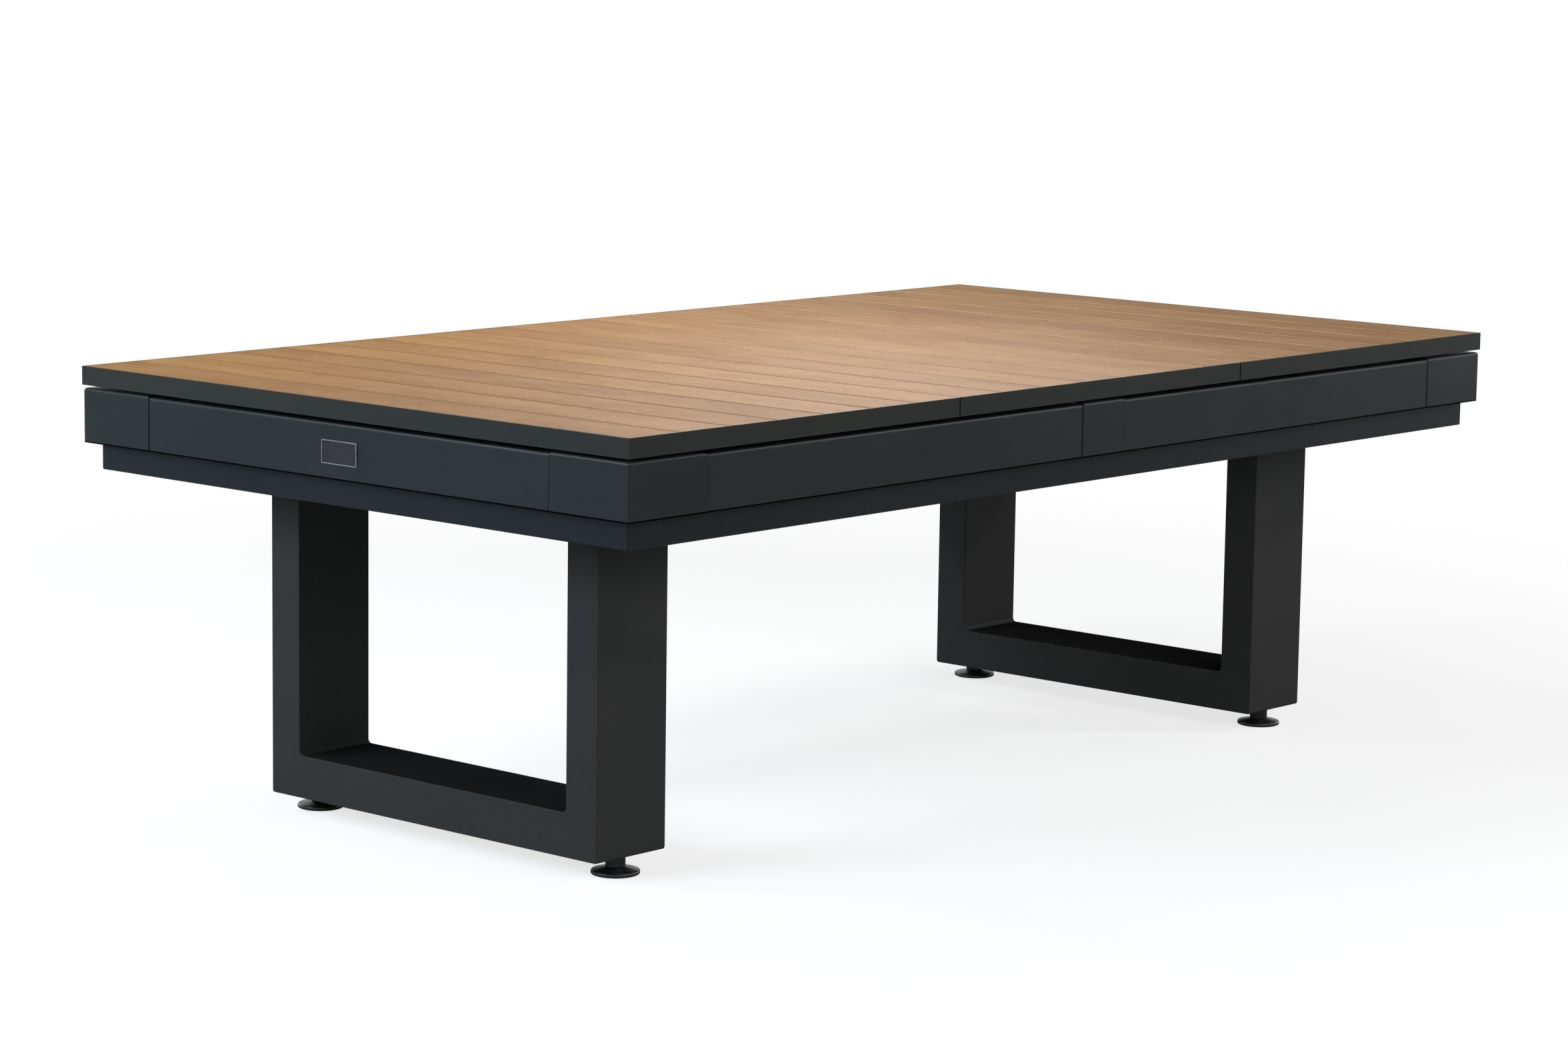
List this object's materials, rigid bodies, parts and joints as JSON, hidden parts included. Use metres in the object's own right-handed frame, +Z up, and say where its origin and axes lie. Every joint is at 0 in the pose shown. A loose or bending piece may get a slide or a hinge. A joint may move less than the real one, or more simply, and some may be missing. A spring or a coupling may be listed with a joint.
{
  "type": "pool table",
  "caption": "Outdoor pool table on two open rectangular leg frames, with a lift-off slatted dining top over the rails, cushions, pockets and slate bed.",
  "frame": {"origin": "on the floor, under the middle of the table", "axes": "+X along the table, away from the end with the nameplate; +Y across it, away from the near side; +Z up"},
  "size_m": [2.476, 1.359, 0.805],
  "materials": {
    "coated_steel": "satin charcoal powder coat",
    "coated_rail": "satin charcoal powder coat on an aluminium extrusion",
    "coated_casting": "satin charcoal powder coat on cast aluminium",
    "coated_panel_frame": "satin charcoal powder coat on aluminium",
    "teak_slat": "matt teak colour, finely embossed grain",
    "slate": "honed slate",
    "zinc_steel": "zinc plated",
    "stem_steel": "turned steel",
    "black_steel": "gloss black",
    "sight": "gloss",
    "bed_cloth": "woven, close napped",
    "cushion": "rubber covered with the bed cloth",
    "pocket_liner": "moulded, matt",
    "nameplate": "dark field inside a bright border, left bare",
    "foot_pad": "black, half gloss",
    "buffer_rubber": "matt black"
  },
  "bodies": {
    "table": {"leg_frame_left": "coated_steel", "leg_frame_right": "coated_steel", "leg_bolts": "zinc_steel", "leveller_bushes": "black_steel", "long_beams": "coated_steel", "cross_members": "coated_steel", "skirt_near": "coated_steel", "skirt_far": "coated_steel", "skirt_left": "coated_steel", "skirt_right": "coated_steel", "slate_left": "slate", "slate_centre": "slate", "slate_right": "slate", "slate_screws": "zinc_steel", "bed_cloth": "bed_cloth", "rail_near_left": "coated_rail", "rail_near_right": "coated_rail", "rail_far_left": "coated_rail", "rail_far_right": "coated_rail", "rail_left": "coated_rail", "rail_right": "coated_rail", "rail_bolts": "zinc_steel", "rail_sights": "sight", "cushion_near_left": "cushion", "cushion_near_right": "cushion", "cushion_far_left": "cushion", "cushion_far_right": "cushion", "cushion_left": "cushion", "cushion_right": "cushion", "corner_block_near_left": "coated_casting", "corner_block_near_right": "coated_casting", "corner_block_far_left": "coated_casting", "corner_block_far_right": "coated_casting", "side_block_near": "coated_casting", "side_block_far": "coated_casting", "corner_cup_near_left": "pocket_liner", "corner_cup_near_right": "pocket_liner", "corner_cup_far_left": "pocket_liner", "corner_cup_far_right": "pocket_liner", "side_cup_near": "pocket_liner", "side_cup_far": "pocket_liner", "nameplate": "nameplate"},
    "panel_left": {"panel_frame_left": "coated_panel_frame", "slats_left": "teak_slat", "panel_buffers_left": "buffer_rubber"},
    "panel_centre": {"panel_frame_centre": "coated_panel_frame", "slats_centre": "teak_slat", "panel_buffers_centre": "buffer_rubber"},
    "panel_right": {"panel_frame_right": "coated_panel_frame", "slats_right": "teak_slat", "panel_buffers_right": "buffer_rubber"},
    "foot_pad_near_left": {"foot_pad_near_left": "foot_pad"},
    "foot_stem_near_left": {"foot_stem_near_left": "stem_steel"},
    "foot_pad_near_right": {"foot_pad_near_right": "foot_pad"},
    "foot_stem_near_right": {"foot_stem_near_right": "stem_steel"},
    "foot_pad_far_left": {"foot_pad_far_left": "foot_pad"},
    "foot_stem_far_left": {"foot_stem_far_left": "stem_steel"},
    "foot_pad_far_right": {"foot_pad_far_right": "foot_pad"},
    "foot_stem_far_right": {"foot_stem_far_right": "stem_steel"}
  },
  "joints": [
    {"name": "panel_left_lift", "type": "slide", "parent": "table", "child": "panel_left", "axis": [0, 0, 1], "range_m": [0, 0.35]},
    {"name": "panel_centre_lift", "type": "slide", "parent": "table", "child": "panel_centre", "axis": [0, 0, 1], "range_m": [0, 0.35]},
    {"name": "panel_right_lift", "type": "slide", "parent": "table", "child": "panel_right", "axis": [0, 0, 1], "range_m": [0, 0.35]},
    {"name": "foot_near_left_height", "type": "slide", "parent": "table", "child": "foot_pad_near_left", "axis": [0, 0, -1], "range_m": [0, 0.02]},
    {"name": "foot_near_left_screw", "type": "hinge", "parent": "foot_pad_near_left", "child": "foot_stem_near_left", "pos_m": [-0.9423, -0.373, 0.035], "axis": [0, 0, -1], "range_deg": [0, 3600]},
    {"name": "foot_near_right_height", "type": "slide", "parent": "table", "child": "foot_pad_near_right", "axis": [0, 0, -1], "range_m": [0, 0.02]},
    {"name": "foot_near_right_screw", "type": "hinge", "parent": "foot_pad_near_right", "child": "foot_stem_near_right", "pos_m": [0.9423, -0.373, 0.035], "axis": [0, 0, -1], "range_deg": [0, 3600]},
    {"name": "foot_far_left_height", "type": "slide", "parent": "table", "child": "foot_pad_far_left", "axis": [0, 0, -1], "range_m": [0, 0.02]},
    {"name": "foot_far_left_screw", "type": "hinge", "parent": "foot_pad_far_left", "child": "foot_stem_far_left", "pos_m": [-0.9423, 0.373, 0.035], "axis": [0, 0, -1], "range_deg": [0, 3600]},
    {"name": "foot_far_right_height", "type": "slide", "parent": "table", "child": "foot_pad_far_right", "axis": [0, 0, -1], "range_m": [0, 0.02]},
    {"name": "foot_far_right_screw", "type": "hinge", "parent": "foot_pad_far_right", "child": "foot_stem_far_right", "pos_m": [0.9423, 0.373, 0.035], "axis": [0, 0, -1], "range_deg": [0, 3600]}
  ],
  "couplings": [
    {"joint": "foot_near_left_screw", "follows": "foot_near_left_height", "rad_per_m": 3141.6},
    {"joint": "foot_near_right_screw", "follows": "foot_near_right_height", "rad_per_m": 3141.6},
    {"joint": "foot_far_left_screw", "follows": "foot_far_left_height", "rad_per_m": 3141.6},
    {"joint": "foot_far_right_screw", "follows": "foot_far_right_height", "rad_per_m": 3141.6}
  ]
}
